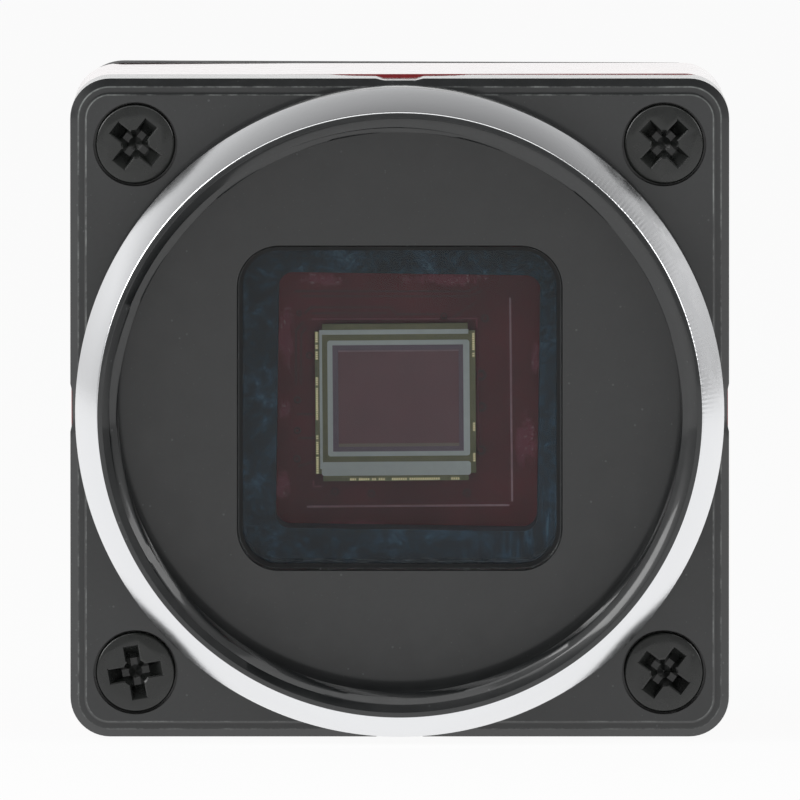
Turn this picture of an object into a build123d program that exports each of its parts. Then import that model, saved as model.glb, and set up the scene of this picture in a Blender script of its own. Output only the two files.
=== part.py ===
"""Small square microscope camera with a screw lens mount and a bare image sensor, in millimetres.

The lens looks along -Y, +Z is up, and the camera stands on the flat underside of its housing.
A station is a distance behind the lens flange, which is the front-most face, measured along +Y.
"""
import os
from math import cos, radians, sin, sqrt

from build123d import *

os.makedirs("parts", exist_ok=True)

# Lens mount
thread_radius = 12.7
entry = 0.3  # chamfer at the mouth of the thread
flange_land = 0.57  # width of the flange outside the thread
bevel_run = 0.93  # the bright bevel, across and along the axis
bevel_length = 2.6
plate_rim = 0.3  # from the boss to the middle of each side
floor_station = 6.9
flange_to_sensor = 17.526

# Housing
plate_corner = 1.75
body_corner = 2.2
plate_face = 6.85  # station of the front plate's flat face
plate_block = 5.65  # length of the front plate's side walls, without the bevel
rear_thickness = 3.3
spigot_depth = 0.6  # how far each plate reaches into the body
wall = 1.4
post_web = 1.15  # wall of a corner post beside its screw hole
post_fillet = 0.8
slide_fit = 0.1  # clearance between the plates' spigots and the body
edge_break = 0.25

# Front plate edge: an outer bevel, a narrow ledge and a raised face
bevel = 0.35
ledge = 0.27
face_rise = 0.4
face_break = 0.1
relief_width = 2.1
relief_depth = 0.084
relief_slope = 13

# Housing screws; the turns are the angles of their cross recesses
screw_thread = 2.0
screw_head = 3.5
screw_head_height = 1.2
screw_head_break = 0.12
head_gap = 0.1
head_sink = 0.05
seat_web = 0.355  # between the boss and a screw's seat
thread_fit = 0.05
front_screw_reach = 8.8
rear_screw_reach = 5.6
screw_cross = (2.3, 0.62, 0.85)  # span, width and depth of the recess
cross_taper = 12
front_screw_turns = {(-1, 1): 52, (1, 1): 46, (-1, -1): 10, (1, -1): 53}
rear_screw_turns = {(-1, 1): 12, (1, 1): 67, (-1, -1): 25, (1, -1): 50}

# Boards and the screws that hold them as a stack
board_thickness = 1.0
board_gap = 4.1  # from the sensor board's back to the main board's front
board_fit = 0.25
stack_margin = (2.5, 6.3)  # from the cavity's walls to the screws
stack_thread = 1.6
stack_head = 3.0
stack_head_height = 1.0
stack_bite = 2.6  # how far the stack screws reach into the front plate
stack_hole_spare = 0.4
stack_room = 1.474  # from the screw heads to the rear plate's spigot
stack_cross = (1.6, 0.45, 0.5)  # span, width and depth of the recess
spacer_diameter = 2.8

# Gasket between the front plate and the sensor board
gasket_gap = 0.7  # from the spacers
gasket_corner = 1.5
gasket_lip = (0.95, 1.13)  # opening's edge inside the midway from the die's room to the rim
gasket_opening_corner = 0.65
gasket_shift = (0.37, 0.0)
gasket_turn = -0.8

# Window in the floor of the mount
gasket_lap = 1.4  # gasket beyond the well's sides
well_corner = 1.8
well_depth = 2.1
seat_ledge = 0.2
glass_thickness = 1.0
glass_gap = 0.05
bead_width = 0.2
bead_height = 0.1

# Image sensor; insets and frame widths are left, right, bottom and top
die_size = (7.1, 6.96)
die_centre = (-0.19, -0.206)
die_turn = 0.45
die_thickness = 0.4
die_notch = 0.33  # square cut out of each corner
die_clearance = 0.45  # free of the gasket, round the die
film = 0.03  # thickness of the layers on the die
frame_inset = (0.55, 0.26, 1.1, 0.73)
frame_width = (0.23, 0.28, 0.21, 0.21)
frame_corner = 0.12
array_inset = (0.48, 0.48, 0.56, 0.51)
rail_inset = (0.2, 0.3, 0.26)  # left, right and top
rail_width = (0.12, 0.21)  # the upright and the level rail
bar_inset = (0.27, 0.23, 0.24)  # left, right and bottom
bar_height = 0.61

# Pads along the die's edges; in each row of places, a bar is a pad and a dot is none
pad_size = (0.07, 0.1)
pad_inset = 0.08
left_pads = "...||||||||.||||||.||.......|||||||||||||||.||||........||||.||.|||||..."
right_pads = "....||||||||.||..............................||||..........||||........"
bottom_pads = "...............|||.|||||.||.|||...|||||||.||||||||||||||.....||||......."

# Board-to-board connector
link_size = (14.0, 3.4)
link_rise = 3.5  # above the cavity's floor
link_split = 2.0  # height of the socket half
link_tongue = 1.2
link_tongue_depth = 1.0

# Chips and small parts
processor_size = (7.0, 7.0, 1.2)
memory_size = (4.0, 6.0, 1.0)
chip_gap = 0.9  # from the spacers
chip_height = 2.6  # of the chips' centres above the lens axis
inductor_size = (3.0, 3.0, 1.5)
inductor_inset = 1.6  # from the processor's left edge
inductor_drop = 0.5  # below the processor
inductor_step = 3.6
crystal_size = (2.5, 2.0, 0.7)
crystal_offset = (-0.6, 2.7)  # from the round connector
chip_break = 0.15
capacitor_size = (1.0, 0.5, 0.5)
capacitor_step = (1.6, 1.3)
capacitor_count = (5, 2)
capacitor_drop = 3.7  # below the cavity's roof

# Data socket
usb_size = (12.2, 3.0)
usb_drop = 8.9  # below the top of the housing
usb_wall = 0.25
usb_chamfer = 0.7
usb_divider = 0.4
usb_large_bay = 6.9
usb_sink = 0.2  # socket mouth below the rear face
usb_clearance = 0.3
usb_foot = 0.3
usb_fit = 0.05
usb_base = 1.4
usb_tongue = 0.7
usb_tongue_margin = 0.5
usb_tongue_sink = 0.8
lock_span = 18.6
lock_thread = 2.0

# Round input and output connector
io_gap = 1.2  # from the heads of the stack screws
io_rise = 8.9  # above the underside
io_diameter = 8.6
io_bore = 7.0
io_stand = 1.0  # flange of the insert, under the shell
io_protrusion = 4.0
io_clearance = 0.1
io_bore_depth = 6.5
io_key_width = 0.9
io_key_depth = 0.35
nut_diameter = 10.4
nut_thickness = 1.3
flute_count = 24
nut_flute = 0.4
pin_diameter = 0.5
pin_ring_diameter = 4.0
pin_count = 6
pin_length = 2.2

# Status light
led_size = (1.6, 0.8, 0.6)
led_margin = (7.5, 8.1)  # from the left side and the underside
led_gap = 0.2
pipe_diameter = 2.0

# Derived stations
outline_station = plate_face + face_rise
plate_rear = outline_station + plate_block
gasket_front = plate_rear + spigot_depth
seat_station = floor_station + well_depth
sensor_board_front = flange_to_sensor + die_thickness
sensor_board_back = sensor_board_front + board_thickness
main_board_front = sensor_board_back + board_gap
main_board_back = main_board_front + board_thickness
body_rear = main_board_back + stack_head_height + stack_room + spigot_depth
rear_face = body_rear + rear_thickness
link_station = sensor_board_back + link_split
usb_floor = main_board_back + usb_foot
usb_mouth = rear_face - usb_sink
io_mouth = rear_face + io_protrusion
io_floor = io_mouth - io_bore_depth

# Derived sizes and places
flange_radius = thread_radius + flange_land
boss_radius = flange_radius + bevel_run
side = 2 * (boss_radius + plate_rim)
body_length = body_rear - plate_rear
cavity = side - 2 * wall
screw_pitch = sqrt(2) * (boss_radius + seat_web + head_gap + screw_head / 2)
post = cavity / 2 - screw_pitch / 2 + screw_thread / 2 + thread_fit + post_web
stack_span = (cavity - 2 * stack_margin[0], cavity - 2 * stack_margin[1])
gasket_side = stack_span[0] - spacer_diameter - 2 * gasket_gap
gasket_opening = tuple(
    (size + 2 * die_clearance + gasket_side) / 2 - lip
    for size, lip in zip(die_size, gasket_lip)
)
well_side = gasket_side - 2 * gasket_lap
chip_limit = (stack_span[0] - spacer_diameter) / 2 - chip_gap
processor_place = (processor_size[0] / 2 - chip_limit, chip_height)
memory_place = (chip_limit - memory_size[0] / 2, chip_height)
inductor_left = inductor_inset + inductor_size[0] / 2 - chip_limit
inductor_height = chip_height - processor_size[1] / 2 - inductor_drop - inductor_size[1] / 2
inductor_places = (
    (inductor_left, inductor_height),
    (inductor_left + inductor_step, inductor_height),
)
link_place = (0, link_rise - cavity / 2)
capacitor_place = (0, cavity / 2 - capacitor_drop)
usb_place = (0, side / 2 - usb_drop)
io_place = ((stack_span[0] - stack_head - io_diameter) / 2 - io_gap, io_rise - side / 2)
crystal_place = (io_place[0] + crystal_offset[0], io_place[1] + crystal_offset[1])
led_place = (led_margin[0] - side / 2, led_margin[1] - side / 2)
flange_y = -io_mouth / 2
axis_height = side / 2
lens_axis = Axis((0, flange_y, axis_height), (0, 1, 0))
turning_plane = Plane((0, flange_y, axis_height), x_dir=(1, 0, 0), z_dir=(0, 0, 1))


def facing(station, place=(0, 0), turn=0):
    """Plane square to the lens axis that faces forward, with its x axis to the right."""
    origin = (place[0], flange_y + station, axis_height + place[1])
    tilt = radians(turn)
    return Plane(origin, x_dir=(cos(tilt), 0, sin(tilt)), z_dir=(0, -1, 0))


def save(builder, name):
    builder.part.label = name
    export_step(builder.part, f"parts/{name}.step")


def cavity_outline(clearance):
    """The body's inner outline, made smaller all round, in the open sketch."""
    Rectangle(cavity - 2 * clearance, cavity - 2 * clearance)
    span = cavity - post
    with GridLocations(span, span, 2, 2):
        Rectangle(post + 2 * clearance, post + 2 * clearance, mode=Mode.SUBTRACT)


def stack_places():
    return GridLocations(stack_span[0], stack_span[1], 2, 2)


def screw_places():
    return GridLocations(screw_pitch, screw_pitch, 2, 2)


def screw_seats(face, inward, depth):
    """Counterbored holes from a face; inward is 1 where they run towards +Y, and else -1."""
    with BuildSketch(facing(face)) as seats:
        with screw_places():
            Circle(screw_head / 2 + head_gap)
    seat_depth = screw_head_height + head_sink
    extrude(seats.sketch, amount=-inward * seat_depth, mode=Mode.SUBTRACT)
    with BuildSketch(facing(face)) as holes:
        with screw_places():
            Circle(screw_thread / 2 + thread_fit)
    extrude(holes.sketch, amount=-inward * depth, mode=Mode.SUBTRACT)


def cross_recess(station, place, turn, cross, inward):
    """Tapered cross slot in the head of a screw of the open part."""
    span, width, depth = cross
    with BuildSketch(facing(station, place, turn)) as cross_section:
        Rectangle(span, width)
        Rectangle(width, span)
    section = cross_section.sketch
    extrude(section, amount=-inward * depth, taper=cross_taper, mode=Mode.SUBTRACT)


def lens_boss():
    """Round boss with its steep bevel, and the bore of the lens thread."""
    with BuildSketch(turning_plane) as boss:
        with BuildLine():
            Polyline(
                (0, 0),
                (flange_radius, 0),
                (boss_radius, bevel_length),
                (boss_radius, outline_station),
                (0, outline_station),
                close=True,
            )
        make_face()
    revolve(boss.sketch, axis=lens_axis)
    with BuildSketch(turning_plane) as bore:
        with BuildLine():
            Polyline(
                (0, 0),
                (thread_radius + entry, 0),
                (thread_radius, entry),
                (thread_radius, floor_station),
                (0, floor_station),
                close=True,
            )
        make_face()
    revolve(bore.sketch, axis=lens_axis, mode=Mode.SUBTRACT)


def window_well():
    """Square well in the mount's floor, and the smaller opening behind the glass."""
    opening = well_side - 2 * seat_ledge
    with BuildSketch(facing(seat_station)) as well:
        RectangleRounded(well_side, well_side, well_corner)
    extrude(well.sketch, amount=seat_station - floor_station, mode=Mode.SUBTRACT)
    with BuildSketch(facing(gasket_front)) as window:
        RectangleRounded(opening, opening, well_corner - seat_ledge)
    extrude(window.sketch, amount=gasket_front - seat_station, mode=Mode.SUBTRACT)


def side_reliefs():
    """Shallow reliefs with sloped ends, milled along the middle of each side wall."""
    middle = (side - relief_depth) / 2
    for quarter in range(4):
        with BuildSketch(facing(plate_rear, turn=90 * quarter)) as relief:
            with Locations((0, middle)):
                Trapezoid(relief_width, relief_depth, relief_slope, rotation=180)
        extrude(relief.sketch, amount=plate_block, mode=Mode.SUBTRACT)


def make_front_plate():
    raised = side - 2 * (bevel + ledge)
    with BuildPart() as front_plate:
        with BuildSketch(facing(plate_rear)):
            RectangleRounded(side, side, plate_corner)
        extrude(amount=plate_block)
        chamfer(front_plate.faces().sort_by(Axis.Y)[0].edges(), bevel)
        with BuildSketch(facing(outline_station)):
            RectangleRounded(raised, raised, plate_corner - bevel - ledge)
        extrude(amount=face_rise)
        chamfer(front_plate.faces().sort_by(Axis.Y)[0].edges(), face_break)
        with BuildSketch(facing(gasket_front)):
            cavity_outline(slide_fit)
        extrude(amount=spigot_depth)
        side_reliefs()
        lens_boss()
        window_well()
        with BuildSketch(facing(gasket_front)):
            with stack_places():
                Circle(stack_thread / 2 + thread_fit)
        extrude(amount=stack_bite + stack_hole_spare, mode=Mode.SUBTRACT)
        screw_seats(plate_face, 1, gasket_front - plate_face)
    save(front_plate, "front_plate")


def make_body_shell():
    post_corner = cavity / 2 - post + slide_fit
    with BuildPart() as body_shell:
        with BuildSketch(facing(body_rear)):
            RectangleRounded(side, side, body_corner)
        extrude(amount=body_length)
        chamfer(body_shell.faces().filter_by(Axis.Y).edges(), edge_break)
        with BuildSketch(facing(body_rear)) as opening:
            cavity_outline(0)
            corners = opening.vertices()
            fillet(corners.filter_by(lambda v: max(abs(v.X), abs(v.Y)) < post_corner), post_fillet)
        extrude(amount=body_length, mode=Mode.SUBTRACT)
        with BuildSketch(facing(body_rear)):
            with screw_places():
                Circle(screw_thread / 2 + thread_fit)
        extrude(amount=body_length, mode=Mode.SUBTRACT)
    save(body_shell, "body_shell")


def make_rear_plate():
    depth = rear_thickness + spigot_depth
    with BuildPart() as rear_plate:
        with BuildSketch(facing(rear_face)):
            RectangleRounded(side, side, body_corner)
        extrude(amount=rear_thickness)
        chamfer(rear_plate.faces().sort_by(Axis.Y)[-1].edges(), bevel)
        with BuildSketch(facing(body_rear)):
            cavity_outline(slide_fit)
        extrude(amount=spigot_depth)
        screw_seats(rear_face, -1, depth)
        with BuildSketch(facing(rear_face)):
            with Locations(usb_place):
                width = usb_size[0] + 2 * usb_clearance
                height = usb_size[1] + 2 * usb_clearance
                RectangleRounded(width, height, usb_chamfer)
                with GridLocations(lock_span, 0, 2, 1):
                    Circle(lock_thread / 2)
            with Locations(io_place):
                Circle(io_diameter / 2 + io_clearance)
            with Locations(led_place):
                Circle(pipe_diameter / 2 + thread_fit)
        extrude(amount=depth, mode=Mode.SUBTRACT)
    save(rear_plate, "rear_plate")


def housing_screws(face, inward, reach, turns):
    """Four screws with tapered cross recesses, as separate solids of the open part."""
    top = face + inward * head_sink
    seat = top + inward * screw_head_height
    for corner, turn in turns.items():
        place = (corner[0] * screw_pitch / 2, corner[1] * screw_pitch / 2)
        with BuildSketch(facing(seat, place)) as head_section:
            Circle(screw_head / 2)
        head = extrude(head_section.sketch, amount=inward * screw_head_height)
        rim = head.faces().filter_by(Axis.Y).sort_by(Axis.Y, reverse=inward < 0)[0]
        chamfer(rim.edges(), screw_head_break)
        with BuildSketch(facing(seat, place)) as shank_section:
            Circle(screw_thread / 2)
        extrude(shank_section.sketch, amount=-inward * reach)
        cross_recess(top, place, turn, screw_cross, inward)


def make_housing_screws():
    with BuildPart() as front_screws:
        housing_screws(plate_face, 1, front_screw_reach, front_screw_turns)
    save(front_screws, "front_screws")
    with BuildPart() as rear_screws:
        housing_screws(rear_face, -1, rear_screw_reach, rear_screw_turns)
    save(rear_screws, "rear_screws")


def make_window():
    """The glass in its well, and the thin bead of adhesive round its front edge."""
    glass = well_side - 2 * glass_gap
    inner = well_side - 2 * bead_width
    with BuildPart() as window_filter:
        with BuildSketch(facing(seat_station)):
            RectangleRounded(glass, glass, well_corner - glass_gap)
        extrude(amount=glass_thickness)
    save(window_filter, "window_filter")
    with BuildPart() as filter_bond:
        with BuildSketch(facing(seat_station - glass_thickness)):
            RectangleRounded(glass, glass, well_corner - glass_gap)
            RectangleRounded(inner, inner, well_corner - bead_width, mode=Mode.SUBTRACT)
        extrude(amount=bead_height)
    save(filter_bond, "filter_bond")


def make_gasket():
    thickness = sensor_board_front - gasket_front
    with BuildPart() as sensor_gasket:
        with BuildSketch(facing(sensor_board_front)):
            RectangleRounded(gasket_side, gasket_side, gasket_corner)
        extrude(amount=thickness)
        with BuildSketch(facing(sensor_board_front, gasket_shift, gasket_turn)):
            RectangleRounded(*gasket_opening, gasket_opening_corner)
        extrude(amount=thickness, mode=Mode.SUBTRACT)
    save(sensor_gasket, "sensor_gasket")


def make_board(name, back):
    with BuildPart() as board:
        with BuildSketch(facing(back)):
            cavity_outline(board_fit)
            with stack_places():
                Circle(stack_thread / 2 + thread_fit, mode=Mode.SUBTRACT)
        extrude(amount=board_thickness)
    save(board, name)


def inset_region(region, left, right, bottom, top):
    """Region inside another; a region is its left, right, bottom and top limits."""
    return region[0] + left, region[1] - right, region[2] + bottom, region[3] - top


def fill_region(region, corner=0, mode=Mode.ADD):
    """Rectangle over a region of the open sketch, with rounded corners if asked."""
    left, right, bottom, top = region
    with Locations(((left + right) / 2, (bottom + top) / 2)):
        if corner:
            RectangleRounded(right - left, top - bottom, corner, mode=mode)
        else:
            Rectangle(right - left, top - bottom, mode=mode)


def metal_rails(die):
    """Level rail along the die's top, and the upright one from it down to the bar."""
    left, right, bottom, top = inset_region(die, *rail_inset[:2], bar_inset[2], rail_inset[2])
    fill_region((left, left + rail_width[0], bottom + bar_height / 2, top))
    fill_region((left, right, top - rail_width[1], top))


def metal_bar(die):
    left, right, bottom, top = inset_region(die, *bar_inset, 0)
    fill_region((left, right, bottom, bottom + bar_height), frame_corner)


def make_sensor():
    """The chip, its light-sensitive field, and the metal frame, rails and bar round the field."""
    die = (-die_size[0] / 2, die_size[0] / 2, -die_size[1] / 2, die_size[1] / 2)
    frame = inset_region(die, *frame_inset)
    with BuildPart() as sensor_die:
        with BuildSketch(facing(sensor_board_front, die_centre, die_turn)):
            fill_region(die)
            with GridLocations(die_size[0], die_size[1], 2, 2):
                Rectangle(2 * die_notch, 2 * die_notch, mode=Mode.SUBTRACT)
        extrude(amount=die_thickness)
    save(sensor_die, "sensor_die")
    with BuildPart() as pixel_array:
        with BuildSketch(facing(flange_to_sensor, die_centre, die_turn)):
            fill_region(inset_region(frame, *array_inset))
        extrude(amount=film)
    save(pixel_array, "pixel_array")
    with BuildPart() as die_metal:
        with BuildSketch(facing(flange_to_sensor, die_centre, die_turn)):
            fill_region(frame, frame_corner)
            fill_region(inset_region(frame, *frame_width), mode=Mode.SUBTRACT)
            metal_rails(die)
            metal_bar(die)
        extrude(amount=film)
    save(die_metal, "die_metal")


def pad_row(row, length, depth):
    """One row of pads along the upper edge of the open sketch, from left to right."""
    step = length / (len(row) + 1)
    places = [
        ((index + 1) * step - length / 2, depth)
        for index, place in enumerate(row)
        if place == "|"
    ]
    with Locations(*places):
        Rectangle(*pad_size)


def make_die_pads():
    """Rows of contact pads along the left, right and bottom edges of the die."""
    width, height = die_size
    rows = (
        (left_pads, height, width / 2, 90),
        (bottom_pads[::-1], width, height / 2, 180),
        (right_pads, height, width / 2, -90),
    )
    with BuildPart() as die_pads:
        for row, length, reach, turn in rows:
            with BuildSketch(facing(flange_to_sensor, die_centre, die_turn + turn)):
                pad_row(row, length, reach - pad_inset)
            extrude(amount=film)
    save(die_pads, "die_pads")


def make_spacers(name, front, back):
    with BuildPart() as spacers:
        with BuildSketch(facing(back)):
            with stack_places():
                Circle(spacer_diameter / 2)
                Circle(stack_thread / 2 + thread_fit, mode=Mode.SUBTRACT)
        extrude(amount=back - front)
    save(spacers, name)


def make_stack_screws():
    top = main_board_back + stack_head_height
    with BuildPart() as stack_screws:
        with BuildSketch(facing(top)):
            with stack_places():
                Circle(stack_head / 2)
        extrude(amount=stack_head_height)
        with BuildSketch(facing(main_board_back)):
            with stack_places():
                Circle(stack_thread / 2)
        extrude(amount=main_board_back - gasket_front + stack_bite)
        for across in (-1, 1):
            for up in (-1, 1):
                place = (across * stack_span[0] / 2, up * stack_span[1] / 2)
                cross_recess(top, place, 0, stack_cross, -1)
    save(stack_screws, "stack_screws")


def make_board_link():
    """Socket on the sensor board and plug on the main board, mated by a tongue in a slot."""
    width, height = link_size
    slot = width - link_tongue
    with BuildPart() as board_socket:
        with BuildSketch(facing(sensor_board_back, link_place)):
            Rectangle(width, height)
        extrude(amount=-link_split)
        with BuildSketch(facing(link_station, link_place)):
            Rectangle(slot, link_tongue)
        extrude(amount=link_tongue_depth, mode=Mode.SUBTRACT)
    save(board_socket, "board_socket")
    with BuildPart() as board_plug:
        with BuildSketch(facing(main_board_front, link_place)):
            Rectangle(width, height)
        extrude(amount=main_board_front - link_station)
        with BuildSketch(facing(link_station, link_place)):
            Rectangle(slot - 2 * slide_fit, link_tongue - 2 * slide_fit)
        extrude(amount=link_tongue_depth - slide_fit)
    save(board_plug, "board_plug")


def make_chips(name, size, places):
    """Flat packages on the main board's front, with the edges of their tops broken."""
    with BuildPart() as chips:
        with BuildSketch(facing(main_board_front)):
            with Locations(*places):
                Rectangle(size[0], size[1])
        extrude(amount=size[2])
        chamfer(chips.faces().sort_by(Axis.Y)[: len(places)].edges(), chip_break)
    save(chips, name)


def make_capacitors():
    with BuildPart() as capacitors:
        for station, forward in ((main_board_front, 1), (sensor_board_back, -1)):
            with BuildSketch(facing(station, capacitor_place)):
                with GridLocations(*capacitor_step, *capacitor_count):
                    Rectangle(capacitor_size[0], capacitor_size[1])
            extrude(amount=forward * capacitor_size[2])
    save(capacitors, "capacitors")


def usb_outline():
    """Outer section of the data socket, its lower corners cut, in the open sketch."""
    outline = Rectangle(*usb_size)
    chamfer(outline.vertices().group_by(Axis.Y)[0], usb_chamfer)


def usb_bays():
    """Centre and width of the data socket's two bays."""
    inner = usb_size[0] - 2 * usb_wall
    small = inner - usb_divider - usb_large_bay
    return ((usb_large_bay - inner) / 2, usb_large_bay), ((inner - small) / 2, small)


def usb_bay(centre, width, clearance):
    """Section of one bay, its lower corners cut, in the open sketch."""
    height = usb_size[1] - 2 * usb_wall
    with Locations((centre, 0)):
        section = Rectangle(width - 2 * clearance, height - 2 * clearance)
    chamfer(section.vertices().group_by(Axis.Y)[0], usb_chamfer - usb_wall)


def make_usb():
    with BuildPart() as usb_shell:
        with BuildSketch(facing(usb_mouth, usb_place)):
            usb_outline()
        extrude(amount=usb_mouth - usb_floor)
        for centre, width in usb_bays():
            with BuildSketch(facing(usb_mouth, usb_place)):
                usb_bay(centre, width, 0)
            extrude(amount=usb_mouth - usb_floor, mode=Mode.SUBTRACT)
    save(usb_shell, "usb_shell")
    with BuildPart() as usb_insert:
        with BuildSketch(facing(usb_floor, usb_place)):
            usb_outline()
        extrude(amount=usb_foot)
        for centre, width in usb_bays():
            with BuildSketch(facing(usb_floor, usb_place)):
                usb_bay(centre, width, usb_fit)
            extrude(amount=-usb_base)
            with BuildSketch(facing(usb_floor + usb_base, usb_place)):
                with Locations((centre, 0)):
                    Rectangle(width - 2 * usb_tongue_margin, usb_tongue)
            extrude(amount=usb_floor + usb_base + usb_tongue_sink - usb_mouth)
    save(usb_insert, "usb_insert")


def make_io_connector():
    ring = io_diameter / 2 + thread_fit
    with BuildPart() as io_shell:
        with BuildSketch(facing(io_mouth, io_place)):
            Circle(io_diameter / 2)
            Circle(io_bore / 2, mode=Mode.SUBTRACT)
        extrude(amount=io_mouth - main_board_back - io_stand)
        with BuildSketch(facing(io_mouth, io_place)):
            with Locations((0, io_bore / 2)):
                Rectangle(io_key_width, 2 * io_key_depth)
        extrude(amount=io_bore_depth, mode=Mode.SUBTRACT)
    save(io_shell, "io_shell")
    with BuildPart() as io_insert:
        with BuildSketch(facing(main_board_back, io_place)):
            Circle(io_diameter / 2)
        extrude(amount=-io_stand)
        with BuildSketch(facing(main_board_back + io_stand, io_place)):
            Circle(io_bore / 2 - thread_fit)
        extrude(amount=main_board_back + io_stand - io_floor)
        with BuildSketch(facing(main_board_back, io_place)):
            with PolarLocations(pin_ring_diameter / 2, pin_count):
                Circle(pin_diameter / 2 + thread_fit)
        extrude(amount=main_board_back - io_floor, mode=Mode.SUBTRACT)
    save(io_insert, "io_insert")
    with BuildPart() as io_pins:
        with BuildSketch(facing(main_board_back, io_place)):
            with PolarLocations(pin_ring_diameter / 2, pin_count):
                Circle(pin_diameter / 2)
        extrude(amount=main_board_back - io_floor - pin_length)
    save(io_pins, "io_pins")
    with BuildPart() as io_nut:
        with BuildSketch(facing(rear_face, io_place)):
            Circle(nut_diameter / 2)
            Circle(ring, mode=Mode.SUBTRACT)
            with PolarLocations(nut_diameter / 2, flute_count):
                Circle(nut_flute / 2, mode=Mode.SUBTRACT)
        extrude(amount=-nut_thickness)
    save(io_nut, "io_nut")


def make_status_light():
    pipe_front = main_board_back + led_size[2] + led_gap
    with BuildPart() as status_led:
        with BuildSketch(facing(main_board_back, led_place)):
            Rectangle(led_size[0], led_size[1])
        extrude(amount=-led_size[2])
    save(status_led, "status_led")
    with BuildPart() as light_pipe:
        with BuildSketch(facing(rear_face, led_place)):
            Circle(pipe_diameter / 2)
        extrude(amount=rear_face - pipe_front)
    save(light_pipe, "light_pipe")


make_front_plate()
make_body_shell()
make_rear_plate()
make_housing_screws()
make_window()
make_gasket()
make_board("sensor_board", sensor_board_back)
make_sensor()
make_die_pads()
make_spacers("front_spacers", gasket_front, sensor_board_front)
make_spacers("rear_spacers", sensor_board_back, main_board_front)
make_stack_screws()
make_board("main_board", main_board_back)
make_board_link()
make_chips("image_processor", processor_size, [processor_place])
make_chips("memory_chip", memory_size, [memory_place])
make_chips("power_inductors", inductor_size, inductor_places)
make_chips("crystal", crystal_size, [crystal_place])
make_capacitors()
make_usb()
make_io_connector()
make_status_light()
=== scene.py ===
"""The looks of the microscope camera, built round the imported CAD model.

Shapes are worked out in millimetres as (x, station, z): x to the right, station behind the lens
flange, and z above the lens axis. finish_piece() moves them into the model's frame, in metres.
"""

import math
import random

import bmesh
import bpy
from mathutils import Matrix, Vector


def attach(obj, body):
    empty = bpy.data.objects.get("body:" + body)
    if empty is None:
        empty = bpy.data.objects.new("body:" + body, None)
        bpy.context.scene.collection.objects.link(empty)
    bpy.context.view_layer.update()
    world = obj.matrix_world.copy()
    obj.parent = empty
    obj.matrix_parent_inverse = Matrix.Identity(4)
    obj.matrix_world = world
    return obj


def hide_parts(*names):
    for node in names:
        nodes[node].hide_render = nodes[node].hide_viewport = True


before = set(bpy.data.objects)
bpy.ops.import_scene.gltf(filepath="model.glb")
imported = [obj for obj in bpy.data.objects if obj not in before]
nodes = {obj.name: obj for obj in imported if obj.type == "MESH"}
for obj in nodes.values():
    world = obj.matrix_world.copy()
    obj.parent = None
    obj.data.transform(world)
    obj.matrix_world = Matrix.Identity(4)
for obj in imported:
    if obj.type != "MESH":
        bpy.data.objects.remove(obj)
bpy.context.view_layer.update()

MM = 0.001
FLANGE_Y = -17.2
AXIS_Z = 14.5
SEGMENTS = 360

# Front plate, as in the CAD model
SIDE = 29.0
PLATE_CORNER = 1.75
THREAD_R = 12.7
ENTRY = 0.3
FLANGE_R = 13.27
BOSS_R = 14.2
BEVEL_LENGTH = 2.6
FLOOR = 6.9
FACE = 6.85
OUTLINE = 7.25
BEVEL = 0.35
LEDGE = 0.27
FACE_BREAK = 0.1
PLATE_REAR = 12.9
SPIGOT_REAR = 13.5
WELL = 14.2
WELL_CORNER = 1.8
SEAT = 9.0
SEAT_LEDGE = 0.2
RELIEF = (1.05, 0.69, 0.084)
SCOOP = (3.05, 2.4, 0.07)
CAVITY = 26.2
POST = 3.7
POST_FILLET = 0.8
SLIDE = 0.1
SHY = 0.035

# Body and rear plate; each sits a little turned on its neighbour
BODY_SIDE = 28.95
BODY_CORNER = 1.9
BODY_TURN = 0.1
BODY_REAR = 27.1
REAR_SIDE = 28.9
REAR_CORNER = 2.1
REAR_TURN = -0.22
USB = (0, 5.6, 12.8, 3.6, 0.7)
LOCK_X = 9.3
IO = (3.6, -5.6, 4.4)
LED = (-7.0, -6.4, 1.05)

# Housing screws
PITCH = 23.2002
HEAD_R = 1.75
HEAD_HEIGHT = 1.2
HEAD_BREAK = 0.12
HEAD_GAP = 0.1
HEAD_SINK = 0.05
SHANK_R = 1.0
FRONT_REACH = 8.8
REAR_REACH = 5.6
REAR_FACE = 30.4
FRONT_TURNS = {(-1, 1): 52, (1, 1): 46, (-1, -1): 10, (1, -1): 53}
REAR_TURNS = {(-1, 1): 12, (1, 1): 67, (-1, -1): 25, (1, -1): 50}

# Lens thread
PITCH_THREAD = 0.794
THREAD_MINOR = 12.34
THREAD_END = 5.6
THREAD_FLANK = 0.33
THREAD_ROOT = 0.08

# Sensor, as in the CAD model
BOARD = 17.926
DIE = (-0.19, -0.206)
DIE_TURN = 0.45
DIE_FRONT = 17.526
BORDER_OUTER = (-2.77, 3.01, -2.17, 2.54)
FIELD_EDGES = (-2.52, 2.81, -1.82, 2.24)


def ring_points(radius, count=SEGMENTS, centre=(0, 0)):
    step = 2 * math.pi / count
    return [
        (centre[0] + radius * math.cos(i * step), centre[1] + radius * math.sin(i * step))
        for i in range(count)
    ]


def square_points(side, corner, steps=12, turn=0, height=None, centre=(0, 0)):
    """Outline of a rounded rectangle, turned about its centre."""
    halves = side / 2, (height or side) / 2
    tilt = math.radians(turn)
    points = []
    for quarter, (sx, sz) in enumerate(((1, 1), (-1, 1), (-1, -1), (1, -1))):
        for i in range(steps + 1):
            angle = math.radians(90 * (quarter + i / steps))
            x = sx * (halves[0] - corner) + corner * math.cos(angle)
            z = sz * (halves[1] - corner) + corner * math.sin(angle)
            points.append(
                (
                    centre[0] + x * math.cos(tilt) - z * math.sin(tilt),
                    centre[1] + x * math.sin(tilt) + z * math.cos(tilt),
                )
            )
    return points


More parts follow.
